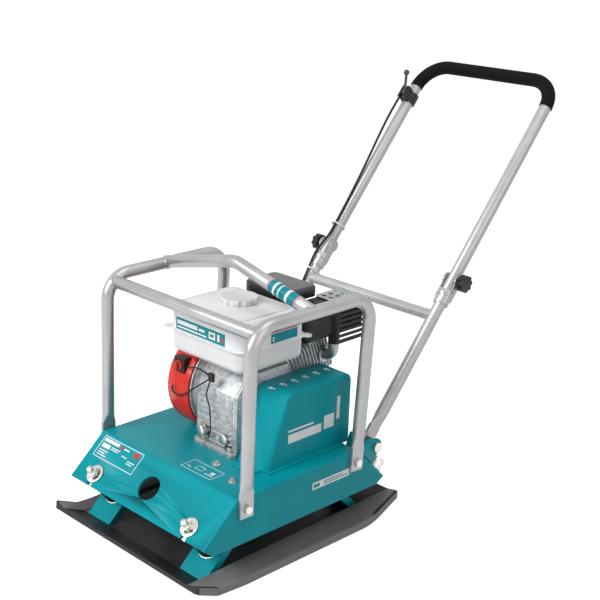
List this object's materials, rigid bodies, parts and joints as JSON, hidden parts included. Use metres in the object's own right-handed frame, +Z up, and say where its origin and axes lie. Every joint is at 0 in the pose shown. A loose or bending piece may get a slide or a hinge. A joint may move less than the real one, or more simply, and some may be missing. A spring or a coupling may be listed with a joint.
{
  "type": "plate compactor",
  "caption": "Forward plate compactor: teal deck and belt guard on a black dished plate, four-stroke engine in a tube cage, folding handle.",
  "frame": {"origin": "centre of the flat sole of the base plate, on the ground", "axes": "+X towards the belt side, -Y towards the front lip, +Y towards the handle, +Z up"},
  "size_m": [0.436, 1.0545, 0.8388],
  "materials": {
    "teal_paint": "gloss",
    "black_paint": "satin",
    "black_rubber": "matte",
    "silver_paint": "satin",
    "red_paint": "gloss",
    "white_paint": "gloss",
    "cast_aluminium": "matte",
    "black_plastic": "matte",
    "grey_plastic": "satin",
    "red_plastic": "gloss",
    "zinc_steel": "satin",
    "grey_iron": "matte",
    "grip_foam": "matte",
    "white_rope": "matte",
    "grey_steel": "satin"
  },
  "bodies": {
    "chassis": {"air_cleaner_base": "black_plastic", "air_cleaner_lid": "black_plastic", "air_filter": "grip_foam", "base_plate": "black_paint", "belt_guard": "teal_paint", "cage_front_bar": "silver_paint", "cage_hoop_left": "silver_paint", "cage_hoop_right": "silver_paint", "carburettor": "cast_aluminium", "crankcase": "cast_aluminium", "crankcase_cover": "cast_aluminium", "cylinder": "cast_aluminium", "cylinder_head": "cast_aluminium", "deck": "teal_paint", "deck_bolts": "zinc_steel", "drive_belt": "black_rubber", "exciter_end_covers": "grey_iron", "exciter_housing": "grey_iron", "exhaust_elbow": "zinc_steel", "fan_housing": "red_paint", "frame_bolts": "zinc_steel", "fuel_tank": "white_paint", "guard_backplate": "teal_paint", "handle_lugs": "teal_paint", "handle_stops": "zinc_steel", "heat_shield": "grey_steel", "lifting_arch": "silver_paint", "mount_fasteners": "zinc_steel", "mount_legs": "teal_paint", "muffler": "black_paint", "muffler_guard": "black_paint", "oil_plugs": "zinc_steel", "plug_cap": "black_rubber", "recoil_cover": "red_paint", "rocker_cover": "cast_aluminium", "rubber_mounts": "black_rubber", "shaft_bearings": "zinc_steel", "spark_plug": "zinc_steel", "switch_box": "black_plastic", "tank_brackets": "black_paint", "throttle_cable_engine": "black_plastic"},
    "exciter_rotor": {"exciter_shaft": "zinc_steel", "exciter_pulley": "grey_iron"},
    "crank": {"crankshaft": "zinc_steel", "flywheel": "grey_iron", "clutch_hub": "zinc_steel"},
    "clutch_bell": {"clutch_drum": "grey_iron"},
    "starter_grip": {"pull_grip": "black_plastic", "starter_rope": "white_rope"},
    "tank_cap": {"fuel_cap": "grey_plastic"},
    "ignition_switch": {"engine_switch": "red_plastic"},
    "handle_lower": {"lower_handle": "silver_paint", "throttle_cable_lower": "black_plastic"},
    "handle_upper": {"upper_handle": "silver_paint", "grip_sleeve": "grip_foam", "lever_clamp": "black_plastic", "throttle_cable_upper": "black_plastic"},
    "knob_left": {"star_knob_left": "black_plastic"},
    "knob_right": {"star_knob_right": "black_plastic"},
    "throttle": {"throttle_lever": "zinc_steel"}
  },
  "joints": [
    {"name": "exciter_spin", "type": "hinge", "parent": "chassis", "child": "exciter_rotor", "pos_m": [0, -0.036, 0.078], "axis": [1, 0, 0], "continuous": true},
    {"name": "crank_spin", "type": "hinge", "parent": "chassis", "child": "crank", "pos_m": [0, 0.04, 0.266], "axis": [1, 0, 0], "continuous": true},
    {"name": "clutch_spin", "type": "hinge", "parent": "chassis", "child": "clutch_bell", "pos_m": [0.118, 0.04, 0.266], "axis": [1, 0, 0], "continuous": true},
    {"name": "starter_pull", "type": "slide", "parent": "chassis", "child": "starter_grip", "axis": [0, 0, 1], "range_m": [0, 0.35], "stiffness_N_per_m": 6, "springref_m": -0.2, "deforming": ["starter_rope"]},
    {"name": "fuel_cap_turn", "type": "hinge", "parent": "chassis", "child": "tank_cap", "pos_m": [0.006, 0.015, 0.4574], "axis": [0, 0, 1], "range_deg": [0, 90]},
    {"name": "switch_turn", "type": "hinge", "parent": "chassis", "child": "ignition_switch", "pos_m": [-0.087, -0.05718, 0.317], "axis": [0, -1, 0], "range_deg": [0, 45]},
    {"name": "handle_pivot", "type": "hinge", "parent": "chassis", "child": "handle_lower", "pos_m": [0, 0.21, 0.161], "axis": [1, 0, 0], "range_deg": [-55, 15]},
    {"name": "handle_fold", "type": "hinge", "parent": "handle_lower", "child": "handle_upper", "pos_m": [0, 0.45362, 0.45133], "axis": [1, 0, 0], "range_deg": [0, 105]},
    {"name": "knob_left_turn", "type": "hinge", "parent": "handle_lower", "child": "knob_left", "pos_m": [0.195, 0.45362, 0.45133], "axis": [1, 0, 0], "continuous": true},
    {"name": "knob_right_turn", "type": "hinge", "parent": "handle_lower", "child": "knob_right", "pos_m": [-0.195, 0.45362, 0.45133], "axis": [-1, 0, 0], "continuous": true},
    {"name": "throttle_turn", "type": "hinge", "parent": "handle_upper", "child": "throttle", "pos_m": [-0.1746, 0.68654, 0.76891], "axis": [1, 0, 0], "range_deg": [0, 50]}
  ],
  "couplings": [
    {"joint": "clutch_spin", "follows": "crank_spin", "ratio": 1},
    {"joint": "exciter_spin", "follows": "crank_spin", "ratio": 1.0581}
  ]
}
